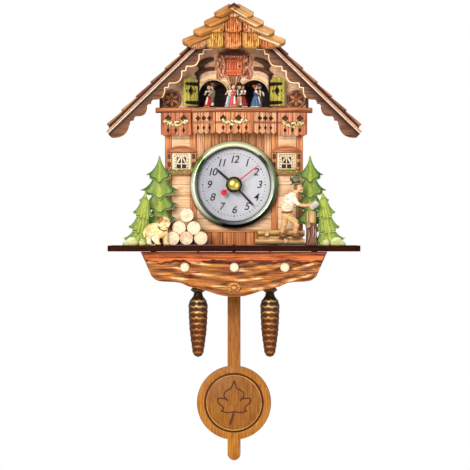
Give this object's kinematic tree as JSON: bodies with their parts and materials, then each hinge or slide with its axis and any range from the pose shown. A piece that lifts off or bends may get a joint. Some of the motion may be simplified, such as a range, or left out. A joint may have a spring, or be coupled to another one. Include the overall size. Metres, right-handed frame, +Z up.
{
  "type": "pendulum wall clock",
  "caption": "Wall-hung carved chalet clock with a round dial, swinging pendulum, turning dancers, opening shutters and hanging pine cone weights.",
  "frame": {"origin": "the nail seat at the top of the keyhole slot, on the wall plane", "axes": "+X to the right seen from the front, +Y into the wall, +Z up"},
  "size_m": [0.1868, 0.081, 0.3445],
  "materials": {
    "carved_oak": "satin varnish",
    "plaster": "matt cream paint",
    "roof_shingle": "satin varnish",
    "dark_oak": "satin varnish",
    "golden_oak": "satin varnish",
    "apron_oak": "satin varnish",
    "tree_green": "painted",
    "tree_lime": "painted",
    "cream_wood": "painted",
    "painted_figures": "hand painted",
    "shutter_green": "painted",
    "door_orange": "painted",
    "pendulum_oak": "satin varnish",
    "dial_silver": "satin silver print",
    "bezel_chrome": "polished",
    "crystal": "polished",
    "hand_black": "gloss",
    "hand_red": "gloss",
    "turned_brass": "polished",
    "black_plastic": "moulded",
    "white_nylon": "moulded",
    "coil_copper": "enamelled wire",
    "plain_steel": "brushed",
    "cone_bronze": "bronzed casting",
    "cell_sleeve": "printed sleeve"
  },
  "bodies": {
    "house": {"attic_wall": "plaster", "back_board": "carved_oak", "balcony_floor": "carved_oak", "balustrade_bay": "golden_oak", "balustrade_left": "golden_oak", "balustrade_right": "golden_oak", "bargeboard_left": "dark_oak", "bargeboard_right": "dark_oak", "base_apron": "apron_oak", "battery_cell": "cell_sleeve", "bezel": "bezel_chrome", "carousel_motor": "black_plastic", "chopping_stump": "dark_oak", "cone_hook_left": "turned_brass", "cone_hook_right": "turned_brass", "dial_plate": "dial_silver", "dog": "cream_wood", "drive_coil": "coil_copper", "felled_logs": "golden_oak", "fixing_nut": "turned_brass", "front_wall": "carved_oak", "hanger_plate": "plain_steel", "lens": "crystal", "log_pile": "cream_wood", "movement_case": "black_plastic", "movement_cover": "black_plastic", "roof_board_left": "roof_shingle", "roof_board_right": "roof_shingle", "roof_hip": "golden_oak", "shelf": "dark_oak", "side_wall_left": "carved_oak", "side_wall_right": "carved_oak", "tree_left_short": "tree_lime", "tree_left_tall": "tree_green", "tree_right_short": "tree_lime", "tree_right_tall": "tree_green", "window_left": "cream_wood", "window_right": "cream_wood", "woodcutter": "painted_figures"},
    "pendulum": {"pendulum_hanger": "plain_steel", "pendulum_board": "pendulum_oak", "drive_magnet": "plain_steel"},
    "left_cone": {"cone_left": "cone_bronze"},
    "right_cone": {"cone_right": "cone_bronze"},
    "hour_arbor": {"hour_hand": "hand_black", "hour_wheel": "white_nylon"},
    "minute_arbor": {"minute_hand": "hand_black", "centre_wheel": "white_nylon"},
    "second_arbor": {"second_hand": "hand_red", "second_wheel": "turned_brass", "centre_cap": "turned_brass"},
    "setting_arbor": {"setting_wheel": "white_nylon", "setting_knob": "black_plastic"},
    "left_shutter": {"shutter_left": "shutter_green"},
    "right_shutter": {"shutter_right": "shutter_green"},
    "door": {"cuckoo_door": "door_orange"},
    "carousel": {"dance_platform": "carved_oak", "dancers_left": "painted_figures", "dancers_front": "painted_figures", "dancers_right": "painted_figures"}
  },
  "joints": [
    {"name": "pendulum_swing", "type": "hinge", "parent": "house", "child": "pendulum", "pos_m": [0, -0.0221, -0.042], "axis": [0, 1, 0], "range_deg": [-9, 9]},
    {"name": "minute_hand_spin", "type": "hinge", "parent": "house", "child": "minute_arbor", "pos_m": [0, -0.05, -0.062], "axis": [0, 1, 0], "continuous": true},
    {"name": "hour_hand_spin", "type": "hinge", "parent": "house", "child": "hour_arbor", "pos_m": [0, -0.05, -0.062], "axis": [0, 1, 0], "continuous": true},
    {"name": "second_hand_spin", "type": "hinge", "parent": "house", "child": "second_arbor", "pos_m": [0, -0.05, -0.062], "axis": [0, 1, 0], "continuous": true},
    {"name": "setting_knob_spin", "type": "hinge", "parent": "house", "child": "setting_arbor", "pos_m": [0.012, -0.03, -0.062], "axis": [0, 1, 0], "continuous": true},
    {"name": "cone_left_swing", "type": "hinge", "parent": "house", "child": "left_cone", "pos_m": [-0.027, -0.045, -0.12], "axis": [0, 1, 0], "range_deg": [-12, 12]},
    {"name": "cone_right_swing", "type": "hinge", "parent": "house", "child": "right_cone", "pos_m": [0.027, -0.045, -0.12], "axis": [0, 1, 0], "range_deg": [-12, 12]},
    {"name": "shutter_left_hinge", "type": "hinge", "parent": "house", "child": "left_shutter", "pos_m": [-0.027, -0.0495, 0.008], "axis": [0, 0, 1], "range_deg": [-30, 50]},
    {"name": "shutter_right_hinge", "type": "hinge", "parent": "house", "child": "right_shutter", "pos_m": [0.027, -0.0495, 0.008], "axis": [0, 0, -1], "range_deg": [-30, 50]},
    {"name": "cuckoo_door_hinge", "type": "hinge", "parent": "house", "child": "door", "pos_m": [-0.0061, -0.05, 0.0267], "axis": [0, 0, -1], "range_deg": [0, 95]},
    {"name": "carousel_spin", "type": "hinge", "parent": "house", "child": "carousel", "pos_m": [0, -0.036, -0.005], "axis": [0, 0, 1], "continuous": true}
  ],
  "couplings": [
    {"joint": "hour_hand_spin", "follows": "minute_hand_spin", "ratio": 0.083333},
    {"joint": "second_hand_spin", "follows": "minute_hand_spin", "ratio": 60},
    {"joint": "setting_knob_spin", "follows": "minute_hand_spin", "ratio": -0.33333}
  ]
}
